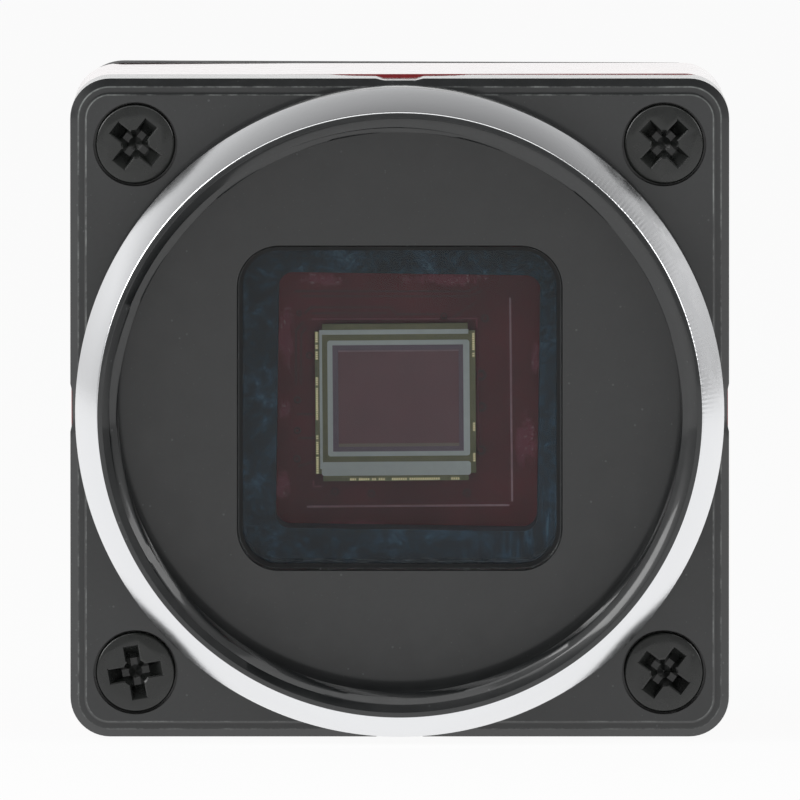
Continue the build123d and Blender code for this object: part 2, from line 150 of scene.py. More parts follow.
def relief_depth(along, station):
    """Depth of a side's relief, and of the shallow scoop that it ends in at the joint."""
    wide, narrow, depth = RELIEF
    relief = depth * min(1, max(0, (wide - abs(along)) / (wide - narrow)))
    half, reach, scoop = SCOOP
    behind = min(1, max(0, (station - (PLATE_REAR - reach)) / reach))
    return relief + scoop * behind * max(0, 1 - (along / half) ** 2)


def plate_points(inset, station):
    """The front plate's outline at a station, with the reliefs of its four sides."""
    half = SIDE / 2 - SHY - inset
    corner = PLATE_CORNER - inset
    marks = [-3.05, -2.6, -2.1, -1.6, -1.05, -0.69, -0.35]
    marks += [0] + [-mark for mark in reversed(marks)]
    quarter = []
    for along in marks:
        depth = relief_depth(along, station) if inset == 0 else 0
        quarter.append((half - depth, along))
    for i in range(13):
        angle = math.radians(90 * i / 12)
        centre = half - corner
        quarter.append((centre + corner * math.cos(angle), centre + corner * math.sin(angle)))
    points = []
    for turn in range(4):
        for x, z in quarter:
            for _ in range(turn):
                x, z = -z, x
            points.append((x, z))
    return points


def loop(bm, points, station):
    return [bm.verts.new((x, station, z)) for x, z in points]


def loft(bm, loops):
    for near, far in zip(loops, loops[1:]):
        for i in range(len(near)):
            j = (i + 1) % len(near)
            bm.faces.new((near[i], near[j], far[j], far[i]))


def closed_loft(sections):
    """Closed solid through (points, station) sections."""
    bm = bmesh.new()
    loops = [loop(bm, points, station) for points, station in sections]
    loft(bm, loops)
    bm.faces.new(loops[0])
    bm.faces.new(loops[-1])
    bmesh.ops.recalc_face_normals(bm, faces=bm.faces)
    return bm


def lathe(profile, centre=(0, 0), count=SEGMENTS):
    """Closed solid of revolution about a line parallel to the lens axis."""
    return closed_loft([(ring_points(r, count, centre), station) for r, station in profile])


def scratch_object(bm, name):
    mesh = bpy.data.meshes.new(name)
    bm.to_mesh(mesh)
    bm.free()
    obj = bpy.data.objects.new(name, mesh)
    bpy.context.scene.collection.objects.link(obj)
    return obj


def carve(target, cutter, operation="DIFFERENCE"):
    """Applies one boolean to the target and removes the cutter."""
    modifier = target.modifiers.new("carve", "BOOLEAN")
    modifier.operation = operation
    modifier.solver = "EXACT"
    modifier.object = cutter
    bpy.context.view_layer.update()
    evaluated = target.evaluated_get(bpy.context.evaluated_depsgraph_get())
    mesh = bpy.data.meshes.new_from_object(evaluated)
    target.modifiers.clear()
    old = target.data
    target.data = mesh
    bpy.data.meshes.remove(old)
    bpy.data.objects.remove(cutter)


def finish_piece(obj, name, materials, replaced=(), angle=28):
    """Moves a piece from the working frame into place and hangs it on the root body's empty."""
    obj.name = name
    mesh = obj.data
    mesh.name = name
    for vertex in mesh.vertices:
        x, station, z = vertex.co
        vertex.co = Vector((x, FLANGE_Y + station, AXIS_Z + z)) * MM
    for material in materials:
        mesh.materials.append(material)
    mesh.shade_smooth()
    mesh.set_sharp_from_angle(angle=math.radians(angle))
    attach(obj, "root")
    if replaced:
        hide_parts(*replaced)
    return obj


def piece(bm, name, materials, replaced=(), angle=28):
    return finish_piece(scratch_object(bm, name), name, materials, replaced, angle)


# Materials

class Tree:
    """Short calls that build one material's nodes."""

    def __init__(self, name):
        self.material = bpy.data.materials.new(name)
        self.material.use_nodes = True
        self.nodes = self.material.node_tree.nodes
        self.links = self.material.node_tree.links
        self.shader = self.nodes["Principled BSDF"]
        self.out = self.nodes["Material Output"]
        self.where = self.nodes.new("ShaderNodeTexCoord").outputs["Object"]

    def node(self, kind, **inputs):
        made = self.nodes.new("ShaderNode" + kind)
        for name, value in inputs.items():
            self.feed(made, name.replace("_", " "), value)
        return made

    def feed(self, node, name, value):
        socket = node.inputs[name]
        if isinstance(value, bpy.types.NodeSocket):
            self.links.new(value, socket)
        else:
            socket.default_value = value

    def set(self, **inputs):
        for name, value in inputs.items():
            self.feed(self.shader, name.replace("_", " "), value)

    def blob(self, x, z, wide, high):
        """1 at a place on a face that looks forward, falling to 0 at an ellipse round it."""
        scale = (1000 / wide, 0, 1000 / high)
        shift = (-x / wide, 0, -(AXIS_Z + z) / high)
        placed = self.node("Mapping", Vector=self.where, Location=shift, Scale=scale)
        length = self.nodes.new("ShaderNodeVectorMath")
        length.operation = "LENGTH"
        self.links.new(placed.outputs["Vector"], length.inputs[0])
        made = self.maths("SUBTRACT", 1.0, length.outputs["Value"])
        return self.maths("MAXIMUM", made, 0.0)

    def largest(self, values):
        top = values[0]
        for value in values[1:]:
            top = self.maths("MAXIMUM", top, value)
        return top

    def millimetres(self):
        """x, station and z above the lens axis, in millimetres."""
        split = self.node("SeparateXYZ", Vector=self.where)
        x = self.maths("MULTIPLY", split.outputs["X"], 1000.0)
        y = self.maths("MULTIPLY_ADD", split.outputs["Y"], 1000.0, -FLANGE_Y)
        z = self.maths("MULTIPLY_ADD", split.outputs["Z"], 1000.0, -AXIS_Z)
        return x, y, z

    def inside_square(self, half, corner):
        """How far inside a rounded square round the lens axis a point lies, in millimetres."""
        x, _, z = self.millimetres()
        straight = half - corner
        qx = self.maths("SUBTRACT", self.maths("ABSOLUTE", x), straight)
        qz = self.maths("SUBTRACT", self.maths("ABSOLUTE", z), straight)
        px = self.maths("MAXIMUM", qx, 0.0)
        pz = self.maths("MAXIMUM", qz, 0.0)
        squares = self.maths("ADD", self.maths("MULTIPLY", px, px), self.maths("MULTIPLY", pz, pz))
        far = self.maths("SQRT", squares)
        near = self.maths("MINIMUM", self.maths("MAXIMUM", qx, qz), 0.0)
        return self.maths("SUBTRACT", corner, self.maths("ADD", far, near))

    def line(self, distance, at, width):
        """1 on a line at a distance, falling to 0 beside it."""
        off = self.maths("ABSOLUTE", self.maths("SUBTRACT", distance, at))
        return self.maths("MAXIMUM", self.maths("SUBTRACT", 1.0, self.maths("DIVIDE", off, width)), 0.0)

    def place(self, scale=(1, 1, 1)):
        return self.node("Mapping", Vector=self.where, Scale=scale).outputs["Vector"]

    def noise(self, per_mm, detail=4, roughness=0.55, stretch=(1, 1, 1), distortion=0.0):
        made = self.node("TexNoise", Vector=self.place(stretch), Scale=per_mm * 1000)
        made.inputs["Detail"].default_value = detail
        made.inputs["Roughness"].default_value = roughness
        made.inputs["Distortion"].default_value = distortion
        return made.outputs["Fac"]

    def ramp(self, value, *stops):
        made = self.node("ValToRGB", Fac=value)
        elements = made.color_ramp.elements
        while len(elements) < len(stops):
            elements.new(0.5)
        for element, (position, colour) in zip(elements, stops):
            element.position = position
            element.color = colour if len(colour) == 4 else (*colour, 1)
        return made.outputs["Color"]

    def spread(self, value, low, high, start=0.3, end=0.7):
        made = self.node("MapRange", Value=value)
        made.inputs["From Min"].default_value = start
        made.inputs["From Max"].default_value = end
        made.inputs["To Min"].default_value = low
        made.inputs["To Max"].default_value = high
        return made.outputs["Result"]

    def maths(self, operation, a, b=0.0, c=0.0):
        made = self.nodes.new("ShaderNodeMath")
        made.operation = operation
        for socket, value in zip(made.inputs, (a, b, c)):
            if isinstance(value, bpy.types.NodeSocket):
                self.links.new(value, socket)
            else:
                socket.default_value = value
        return made.outputs["Value"]

    def mix(self, share, a, b):
        made = self.nodes.new("ShaderNodeMix")
        made.data_type = "RGBA"
        for index, value in ((0, share), (6, a), (7, b)):
            if isinstance(value, bpy.types.NodeSocket):
                self.links.new(value, made.inputs[index])
            else:
                colour = value if index == 0 or len(value) == 4 else (*value, 1)
                made.inputs[index].default_value = colour
        return made.outputs[2]

    def bump(self, height, strength, distance=0.02):
        made = self.node("Bump", Height=height, Strength=strength, Distance=distance * MM)
        self.set(Normal=made.outputs["Normal"])


def srgb(r, g, b):
    """Linear colour of 8-bit display values."""
    out = []
    for value in (r, g, b):
        value /= 255
        out.append(value / 12.92 if value <= 0.04045 else ((value + 0.055) / 1.055) ** 2.4)
    return tuple(out)


def specks(tree, per_mm, share, size=0.16):
    """Sparse round specks of dust, 0 or 1."""
    voronoi = tree.node("TexVoronoi", Vector=tree.where, Scale=per_mm * 1000)
    near = tree.maths("LESS_THAN", voronoi.outputs["Distance"], size)
    chosen = tree.node("SeparateColor", Color=voronoi.outputs["Color"]).outputs["Red"]
    return tree.maths("MULTIPLY", near, tree.maths("LESS_THAN", chosen, share))


def anodised(name, dark, light, roughness=(0.3, 0.42), dust=0.05, coat=0.7):
    """Dyed aluminium under a smooth sealed skin, with faint mottling and a little dust."""
    tree = Tree(name)
    both = tree.mix(0.5, tree.noise(0.3, 5), tree.noise(5, 4, 0.7))
    colour = tree.mix(tree.spread(both, 0, 1, 0.4, 0.6), dark, light)
    if dust:
        grey = tuple(3.2 * c + 0.03 for c in light)
        colour = tree.mix(tree.maths("MULTIPLY", specks(tree, 3.1, dust), 0.7), colour, grey)
        colour = tree.mix(tree.maths("MULTIPLY", specks(tree, 7.3, dust, 0.2), 0.35), colour, grey)
    tree.set(Base_Color=colour)
    tree.set(Roughness=tree.spread(tree.noise(1.2, 4), *roughness))
    tree.set(Coat_Weight=coat, Coat_Roughness=0.07, Coat_IOR=1.5)
    tree.bump(tree.noise(14, 3), 0.2, 0.003)
    return tree


def plate_material():
    """The front plate's black, painted grey along the two steps round its face: partly wear, partly painted
    highlight, brightest at the upper corners and on the right side.
    """
    tree = anodised("black_anodised", srgb(22, 24, 25), srgb(28, 30, 31))
    face = tree.inside_square(SIDE / 2 - SHY, PLATE_CORNER)
    # The two step lines are worn edges and painted highlights together, where the edges catch the lamps.
    lines = tree.maths("ADD", tree.line(face, 0.36, 0.05), tree.line(face, 0.7, 0.045))
    worn_and_lit = tree.spread(tree.noise(0.9, 6, 0.75), 0.06, 0.8, 0.46, 0.68)
    # Painted highlights at the upper left and upper right corners, which face the lamps, and on a patch of the
    # right side.
    corners = tree.largest(
        [tree.blob(-13.6, 13.2, 2.2, 2.2), tree.blob(13.6, 13.2, 2.4, 2.4), tree.blob(13.8, 9.6, 0.8, 1.6)]
    )
    worn_and_lit = tree.maths("ADD", worn_and_lit, tree.maths("MULTIPLY", corners, 0.55))
    _, station, _ = tree.millimetres()
    front = tree.maths("LESS_THAN", station, OUTLINE + BEVEL)
    share = tree.maths("MULTIPLY", tree.maths("MULTIPLY", lines, worn_and_lit), front)
    share = tree.maths("MINIMUM", share, 0.9)
    colour = tree.shader.inputs["Base Color"].links[0].from_socket
    # Grey of the wear and the painted highlights.
    tree.set(Base_Color=tree.mix(share, colour, srgb(150, 154, 152)))
    return tree.material


def bright_metal(name, colour, low, high, grain=0.5):
    """Turned metal: fine scratches and soft patches in its roughness."""
    tree = Tree(name)
    patches = tree.noise(0.8, 6, 0.65)
    scratches = tree.noise(5, 6, 0.7, (1, 0.15, 1), 1.5)
    both = tree.maths("ADD", tree.maths("MULTIPLY", patches, 0.6), tree.maths("MULTIPLY", scratches, 0.4))
    tree.set(Metallic=1.0, Roughness=tree.spread(both, low, high))
    dark = tuple(0.82 * c for c in colour)
    tree.set(Base_Color=tree.mix(tree.spread(both, 0, 1, 0.35, 0.6), dark, colour))
    tree.bump(scratches, grain, 0.002)
    return tree.material


def bevel_metal():
    """The bright bevel: turned aluminium with soft mottling, and chatter at its upper right."""
    tree = Tree("bare_aluminium")
    x, station, z = tree.millimetres()
    angle = tree.maths("ARCTAN2", z, x)
    chatter = tree.maths("SINE", tree.maths("MULTIPLY", angle, 420.0))
    sector = tree.largest([tree.blob(10.6, 8.4, 5.4, 5.4), tree.blob(13.0, 4.0, 3.6, 5.0)])
    inner = tree.spread(station, 1.0, 0.15, 0.1, 1.5)
    worn = tree.maths("MULTIPLY", sector, tree.spread(tree.noise(1.4, 5, 0.7), 0, 1, 0.4, 0.6))
    chatter = tree.maths("MULTIPLY", tree.maths("MULTIPLY", chatter, inner), worn)
    mottle = tree.noise(3.2, 6, 0.72)
    streaks = tree.noise(2.2, 4, 0.6, (1, 0.2, 1))
    height = tree.maths("MULTIPLY_ADD", mottle, 0.5, tree.maths("MULTIPLY", streaks, 0.35))
    height = tree.maths("MULTIPLY_ADD", chatter, 0.9, height)
    patches = tree.maths("MULTIPLY", tree.spread(tree.noise(0.9, 5, 0.7), 0, 1, 0.42, 0.62), sector)
    tree.set(Metallic=1.0, Roughness=tree.spread(patches, 0.2, 0.42, 0, 1))
    tree.set(Base_Color=(*srgb(236, 237, 239), 1))
    tree.bump(height, 0.55, 0.012)
    return tree.material


def plain(name, colour, roughness=0.5, metallic=0.0, variation=0.25, per_mm=1.5, grain=0.2):
    tree = Tree(name)
    cloud = tree.noise(per_mm, 5)
    dark = tuple(c * (1 - variation) for c in colour)
    light = tuple(min(1, c * (1 + variation)) for c in colour)
    tree.set(Base_Color=tree.mix(tree.spread(cloud, 0, 1), dark, light))
    tree.set(Roughness=tree.spread(tree.noise(per_mm * 3, 3), roughness * 0.85, roughness * 1.15))
    tree.set(Metallic=metallic)
    tree.bump(tree.noise(per_mm * 8, 3), grain, 0.004)
    return tree.material


def glass(name):
    """Thin coated glass that lets the lamps through."""
    tree = Tree(name)
    tree.set(Base_Color=(0.9, 0.95, 0.97, 1), Roughness=0.02, IOR=1.22)
    tree.set(Transmission_Weight=1.0)
    clear = tree.node("BsdfTransparent", Color=(0.93, 0.97, 1.0, 1))
    path = tree.nodes.new("ShaderNodeLightPath")
    both = tree.nodes.new("ShaderNodeMixShader")
    tree.links.new(path.outputs["Is Shadow Ray"], both.inputs[0])
    tree.links.new(tree.shader.outputs[0], both.inputs[1])
    tree.links.new(clear.outputs[0], both.inputs[2])
    tree.links.new(both.outputs[0], tree.out.inputs["Surface"])
    return tree.material


def gasket_material():
    """Crinkled blue-black film, mottled light and dark."""
    tree = Tree("blue_black_rubber")
    blotches = tree.noise(0.5, 9, 0.78, (1, 1, 1), 0.4)
    fine = tree.noise(2.6, 8, 0.8, (1, 1, 1.3), 0.9)
    scratch = tree.node("Mapping", Vector=tree.where, Rotation=(0, math.radians(38), 0), Scale=(1, 1, 0.12))
    lines = tree.node("TexNoise", Vector=scratch.outputs["Vector"], Scale=5200.0).outputs["Fac"]
    corner = tree.blob(6.2, -6.0, 3.6, 2.6)
    both = tree.maths("ADD", tree.maths("MULTIPLY", blotches, 0.55), tree.maths("MULTIPLY", fine, 0.45))
    both = tree.mix(tree.maths("MULTIPLY", corner, 0.6), both, lines)
    colour = tree.ramp(
        both,
        (0.4, srgb(20, 28, 34)),
        (0.49, srgb(27, 42, 54)),
        (0.56, srgb(42, 68, 86)),
        (0.64, srgb(84, 116, 132)),
    )
    tree.set(Base_Color=colour, Roughness=tree.spread(fine, 0.35, 0.6), Specular_IOR_Level=0.3)
    tree.bump(both, 0.5, 0.05)
    return tree.material


# Places on the board of the adhesive's smears: x, z, half width, half height
SMEARS = (
    (-5.0, 2.6, 0.75, 2.4),
    (-5.05, -0.6, 0.45, 1.0),
    (-3.4, 5.2, 1.6, 0.6),
    (2.0, 5.25, 3.0, 0.55),
    (5.6, -2.0, 0.75, 2.3),
    (6.0, 1.8, 0.4, 1.2),
    (-5.15, -3.9, 0.55, 1.3),
    (-2.0, -5.7, 2.6, 0.45),
)


def board_material():
    """Red solder mask over copper, with smears of adhesive where the gasket presses on it."""
    tree = Tree("red_board")
    cloud = tree.noise(0.5, 5)
    colour = tree.mix(tree.spread(cloud, 0, 1), srgb(96, 20, 28), srgb(118, 30, 40))
    place = tree.largest([tree.blob(*smear) for smear in SMEARS])
    ragged = tree.noise(1.7, 8, 0.75, (1, 1, 0.6), 0.7)
    film = tree.spread(tree.maths("MULTIPLY", tree.maths("ADD", place, 0.35), ragged), 0, 0.6, 0.36, 0.5)
    film = tree.maths("MULTIPLY", film, tree.maths("GREATER_THAN", place, 0.0))
    flakes = tree.spread(tree.noise(4.5, 6, 0.8), 0, 1, 0.58, 0.66)
    bright = tree.maths("MULTIPLY", film, flakes)
    colour = tree.mix(film, colour, srgb(156, 70, 88))
    colour = tree.mix(bright, colour, srgb(226, 196, 196))
    tree.set(Base_Color=colour, Roughness=0.38, Specular_IOR_Level=0.35)
    tree.bump(tree.noise(2.2, 4), 0.2, 0.01)
    return tree.material


black = plate_material()
steel_black = anodised("black_steel", srgb(24, 26, 25), srgb(32, 34, 32), (0.22, 0.34), 0.02, 0.3).material
rear_black = anodised("rear_black", srgb(24, 25, 26), srgb(30, 31, 32), (0.5, 0.62), 0.02, 0.0).material
red = anodised("red_anodised", srgb(128, 18, 24), srgb(148, 24, 30), (0.22, 0.32), 0.0, 1.0).material
bare = bevel_metal()
plated = bright_metal("plated_steel", (0.72, 0.71, 0.68), 0.2, 0.4)
brass = bright_metal("brass_spacer", (0.78, 0.58, 0.28), 0.2, 0.4)
gold = bright_metal("gold_wire", (0.9, 0.74, 0.42), 0.25, 0.4)
bond = plain("black_adhesive", srgb(20, 22, 24), 0.5, grain=0.5)
silicon = plain("silicon", srgb(134, 126, 86), 0.4, 0.0, 0.1, 2.5)
field = plain("sensor_field", srgb(134, 84, 90), 0.4, 0.0, 0.07, 0.5)
border = plain("field_border", srgb(130, 104, 118), 0.4, 0.0, 0.06, 2.0)
pink_film = plain("pink_film", srgb(168, 130, 135), 0.4, 0.0, 0.05, 2.0)
tan_film = plain("tan_film", srgb(152, 132, 118), 0.4, 0.0, 0.05, 2.0)
chip_metal = plain("chip_metal", srgb(232, 232, 226), 0.4, 0.0, 0.03, 3.0)
silk = plain("silkscreen", srgb(196, 150, 156), 0.6, 0.0, 0.2, 6.0)
# Painted reflection of the die's cavity edges, lighter than the board.
die_edge_reflection = plain("painted_die_edge_reflection", srgb(150, 72, 84), 0.6, 0.0, 0.2, 6.0)
track = plain("covered_track", srgb(88, 18, 26), 0.4, 0.0, 0.12, 2.0)
hole_red = plain("covered_hole", srgb(70, 10, 20), 0.4, 0.0, 0.15, 4.0)
plastic = plain("connector_plastic", srgb(30, 30, 31), 0.5)
chip_plastic = plain("chip_plastic", srgb(36, 37, 40), 0.55)
ferrite = plain("ferrite", srgb(58, 58, 60), 0.7, variation=0.3)
ceramic = plain("ceramic", srgb(176, 150, 112), 0.5)
clear = glass("clear_plastic")
window = glass("window_glass")
rubber = gasket_material()
board = board_material()


def dress(name, material):
    """Gives a carried-over CAD node its material."""
    mesh = nodes[name].data
    mesh.materials.clear()
    mesh.materials.append(material)


DRESSED = {
    "body_shell": red,
    "rear_plate": rear_black,
    "window_filter": window,
    "filter_bond": bond,
    "sensor_gasket": rubber,
    "sensor_board": board,
    "sensor_die": silicon,
    "pixel_array": field,
    "die_metal": chip_metal,
    "die_pads": gold,
    "front_spacers": brass,
    "rear_spacers": brass,
    "stack_screws": plated,
    "main_board": board,
    "board_socket": plastic,
    "board_plug": plastic,
    "image_processor": chip_plastic,
    "memory_chip": chip_plastic,
    "power_inductors": ferrite,
    "crystal": plated,
    "capacitors": ceramic,
    "usb_shell": plated,
    "usb_insert": plastic,
    "io_shell": plated,
    "io_insert": plastic,
    "io_pins": gold,
    "io_nut": plated,
    "status_led": ceramic,
    "light_pipe": clear,
    "front_plate": black,
    "front_screws": steel_black,
    "rear_screws": steel_black,
}
for node_name, node_material in DRESSED.items():
    dress(node_name, node_material)


# Front plate

def thread_radius(angle, station):
    """Radius of the bore: a helical ridge that fades in at the entry and out at the end."""
    turn = (station / PITCH_THREAD + angle / (2 * math.pi)) % 1
    ridge = (0.5 - abs(turn - 0.5) - THREAD_ROOT) / THREAD_FLANK
    height = (THREAD_R - THREAD_MINOR) * min(1, max(0, ridge))
    fade = min(1, (station - ENTRY) / 0.12, (THREAD_END - station) / 0.5)
    return THREAD_R - height * max(0, fade)


def bore_cutter():
    rows = [(None, -0.3), (None, ENTRY)]
    count = int((THREAD_END - ENTRY) / PITCH_THREAD * 14)
    rows += [("thread", ENTRY + (THREAD_END - ENTRY) * i / count) for i in range(1, count)]
    rows += [(None, THREAD_END), (None, FLOOR)]
    segments = SEGMENTS
    step = 2 * math.pi / segments
    sections = []
    for kind, station in rows:
        points = []
        for i in range(segments):
            radius = THREAD_R + max(0, ENTRY - station)
            if kind:
                radius = thread_radius(i * step, station)
            points.append((radius * math.cos(i * step), radius * math.sin(i * step)))
        sections.append((points, station))
    return closed_loft(sections)


def cavity_points(clearance, fillet=0):
    """The spigot's outline: a square with its corners cut away for the body's posts."""
    half = CAVITY / 2 - clearance
    inner = CAVITY / 2 - POST - clearance
    quarter = [(half, -inner), (half, inner)]
    if fillet:
        for i in range(9):
            angle = math.radians(270 - 90 * i / 8)
            centre = inner + fillet
            quarter.append((centre + fillet * math.cos(angle), centre + fillet * math.sin(angle)))
    else:
        quarter.append((inner, inner))
    points = []
    for turn in range(4):
        for x, z in quarter:
            for _ in range(turn):
                x, z = -z, x
            points.append((x, z))
    return points


def drill(target, centre, *profile):
    """Cuts a stepped round hole; the profile is radius, station pairs."""
    carve(target, scratch_object(lathe(profile, centre, 96), "cut"))


def punch(target, points, start, end):
    carve(target, scratch_object(closed_loft([(points, start), (points, end)]), "cut"))


def screw_centres():
    return [(x * PITCH / 2, z * PITCH / 2) for x in (-1, 1) for z in (-1, 1)]


def make_front_plate():
    joint = [OUTLINE + BEVEL] + [PLATE_REAR - SCOOP[1] * share for share in (1, 0.75, 0.5, 0.25, 0)]
    sections = [
        (plate_points(FACE_BREAK + LEDGE + BEVEL, FACE), FACE),
        (plate_points(LEDGE + BEVEL, FACE), FACE + FACE_BREAK),
        (plate_points(LEDGE + BEVEL, FACE), OUTLINE),
        (plate_points(BEVEL, FACE), OUTLINE),
    ]
    sections += [(plate_points(0, station), station) for station in joint]
    plate = scratch_object(closed_loft(sections), "front_plate_body")
    boss = lathe(
        [
            (FLANGE_R - 0.06, 0),
            (FLANGE_R - 0.02, 0.02),
            (FLANGE_R + 0.02, 0.06),
            (BOSS_R - 0.01, BEVEL_LENGTH - 0.03),
            (BOSS_R, BEVEL_LENGTH + 0.01),
            (BOSS_R, OUTLINE + 1),
        ]
    )
    carve(plate, scratch_object(boss, "cut"), "UNION")
    spigot = closed_loft([(cavity_points(SLIDE), PLATE_REAR - 0.5), (cavity_points(SLIDE), SPIGOT_REAR)])
    carve(plate, scratch_object(spigot, "cut"), "UNION")
    carve(plate, scratch_object(bore_cutter(), "cut"))
    edge = 0.05
    well = [
        (square_points(WELL + 4 * edge, WELL_CORNER + 2 * edge), FLOOR - edge),
        (square_points(WELL, WELL_CORNER), FLOOR + edge),
        (square_points(WELL, WELL_CORNER), SEAT),
    ]
    carve(plate, scratch_object(closed_loft(well), "cut"))
    opening = WELL - 2 * SEAT_LEDGE
    punch(plate, square_points(opening, WELL_CORNER - SEAT_LEDGE), SEAT - 1, SPIGOT_REAR + 1)
    seat_r = HEAD_R + HEAD_GAP
    seat = FACE + HEAD_SINK + HEAD_HEIGHT
    hole_r = SHANK_R + 0.05
    for centre in screw_centres():
        drill(plate, centre, (seat_r, FACE - 1), (seat_r, seat), (hole_r, seat), (hole_r, SPIGOT_REAR + 1))
    finish_piece(plate, "front_plate_milled", [black, bare], ["front_plate"])
    for polygon in plate.data.polygons:
        x, y, z = polygon.center
        radius = math.hypot(x / MM, z / MM - AXIS_Z)
        station = y / MM - FLANGE_Y
        if station < BEVEL_LENGTH and radius > FLANGE_R - 0.045:
            polygon.material_index = 1
    return plate


# Body and rear plate

def make_body():
    edge = 0.02
    sections = []
    for inset, station in ((edge, PLATE_REAR), (0, PLATE_REAR + edge), (0, BODY_REAR - edge), (edge, BODY_REAR)):
        side = BODY_SIDE - 2 * inset
        sections.append((square_points(side, BODY_CORNER - inset, 20, BODY_TURN), station))
    shell = scratch_object(closed_loft(sections), "body")
    punch(shell, cavity_points(0, POST_FILLET), PLATE_REAR - 1, BODY_REAR + 1)
    hole_r = SHANK_R + 0.05
    for centre in screw_centres():
        drill(shell, centre, (hole_r, PLATE_REAR - 1), (hole_r, BODY_REAR + 1))
    return finish_piece(shell, "body_shell_anodised", [red], ["body_shell"])


def make_rear_plate():
    sections = []
    for inset, station in ((0, BODY_REAR), (0, REAR_FACE - BEVEL), (BEVEL, REAR_FACE)):
        side = REAR_SIDE - 2 * inset
        sections.append((square_points(side, REAR_CORNER - inset, 20, REAR_TURN), station))
    plate = scratch_object(closed_loft(sections), "rear")
    front = BODY_REAR - 0.6
    spigot = closed_loft([(cavity_points(SLIDE), front), (cavity_points(SLIDE), BODY_REAR + 0.5)])
    carve(plate, scratch_object(spigot, "cut"), "UNION")
    x, z, width, height, corner = USB
    punch(plate, square_points(width, corner, 8, 0, height, (x, z)), front - 1, REAR_FACE + 1)
    for centre, radius in (((LOCK_X, z), 1.0), ((-LOCK_X, z), 1.0), (IO[:2], IO[2]), (LED[:2], LED[2])):
        drill(plate, centre, (radius, front - 1), (radius, REAR_FACE + 1))
    seat_r = HEAD_R + HEAD_GAP
    seat = REAR_FACE - HEAD_SINK - HEAD_HEIGHT
    hole_r = SHANK_R + 0.05
    for centre in screw_centres():
        drill(plate, centre, (seat_r, REAR_FACE + 1), (seat_r, seat), (hole_r, seat), (hole_r, front - 1))
    return finish_piece(plate, "rear_plate_milled", [rear_black], ["rear_plate"])


# Screws

def cross_cutter(top, depth, inward, centre, turn):
    """Cross recess with broken edges and narrowing arms, as one closed solid per part of it."""
    rows = ((-0.3, 1.2, 0.36), (0, 1.2, 0.36), (0.05, 1.14, 0.3), (depth, 0.6, 0.15))
    cutters = []
    for quarter in (0, 90):
        angle = math.radians(turn + quarter)
        sections = []
        for station, long, wide in rows:
            points = []
            for a, b in ((-long, -wide), (long, -wide), (long, wide), (-long, wide)):
                x = centre[0] + a * math.cos(angle) - b * math.sin(angle)
                z = centre[1] + a * math.sin(angle) + b * math.cos(angle)
                points.append((x, z))
            sections.append((points, top + inward * station))
        cutters.append(closed_loft(sections))
    cone = [(0.7, top - inward * 0.3), (0.64, top), (0.56, top + inward * 0.06), (0.3, top + inward * depth)]
    cone.append((0.02, top + inward * depth * 1.2))
    cutters.append(lathe(cone, centre, 32))
    return cutters


def make_screws(name, face, inward, reach, turns, replaced):
    top = face + inward * HEAD_SINK
    seat = top + inward * HEAD_HEIGHT
    whole = None
    for corner, turn in turns.items():
        centre = (corner[0] * PITCH / 2, corner[1] * PITCH / 2)
        profile = []
        for i in range(7):
            angle = math.radians(15 * i)
            across = HEAD_R - HEAD_BREAK * (1 - math.sin(angle))
            profile.append((across, top + inward * HEAD_BREAK * (1 - math.cos(angle))))
        profile += [
            (HEAD_R, seat),
            (SHANK_R, seat),
            (SHANK_R, seat + inward * reach),
        ]
        screw = scratch_object(lathe(profile, centre, 96), "screw")
        for cutter in cross_cutter(top, 0.85, inward, centre, turn):
            carve(screw, scratch_object(cutter, "cut"))
        if whole is None:
            whole = screw
            joined = bmesh.new()
        joined.from_mesh(screw.data)
        if screw is not whole:
            bpy.data.objects.remove(screw)
    joined.to_mesh(whole.data)
    joined.free()
    return finish_piece(whole, name, [steel_black], [replaced])


make_front_plate()
make_body()
make_rear_plate()
make_screws("front_cross_screws", FACE, 1, FRONT_REACH, FRONT_TURNS, "front_screws")
make_screws("rear_cross_screws", REAR_FACE, -1, REAR_REACH, REAR_TURNS, "rear_screws")


# Sensor board's details

def sensor_place(px, py):
    """Place on the board's front, in millimetres, of a point of the 800 pixel picture."""
    return (px - 399.7) / 22.6, (397.0 - py) / 22.6


def ribbon(bm, points, width, front, back, index=0):
    """Flat strip of a given width along a line of places."""
    for (x0, z0), (x1, z1) in zip(points, points[1:]):
        length = math.hypot(x1 - x0, z1 - z0)
        ux, uz = (x1 - x0) / length, (z1 - z0) / length
        half = width / 2
        corners = []
        for x, z, end in ((x0, z0, -1), (x1, z1, 1)):
            x, z = x + end * ux * half * 0.8, z + end * uz * half * 0.8
            for side in (-1, 1):
                corners.append((x - side * uz * half, z + side * ux * half))
        order = (corners[0], corners[2], corners[3], corners[1])
        near = [bm.verts.new((x, front, z)) for x, z in order]
        far = [bm.verts.new((x, back, z)) for x, z in order]
        faces = [bm.faces.new(near), bm.faces.new(far)]
        for i in range(4):
            j = (i + 1) % 4
            faces.append(bm.faces.new((near[i], near[j], far[j], far[i])))
        for face in faces:
            face.material_index = index


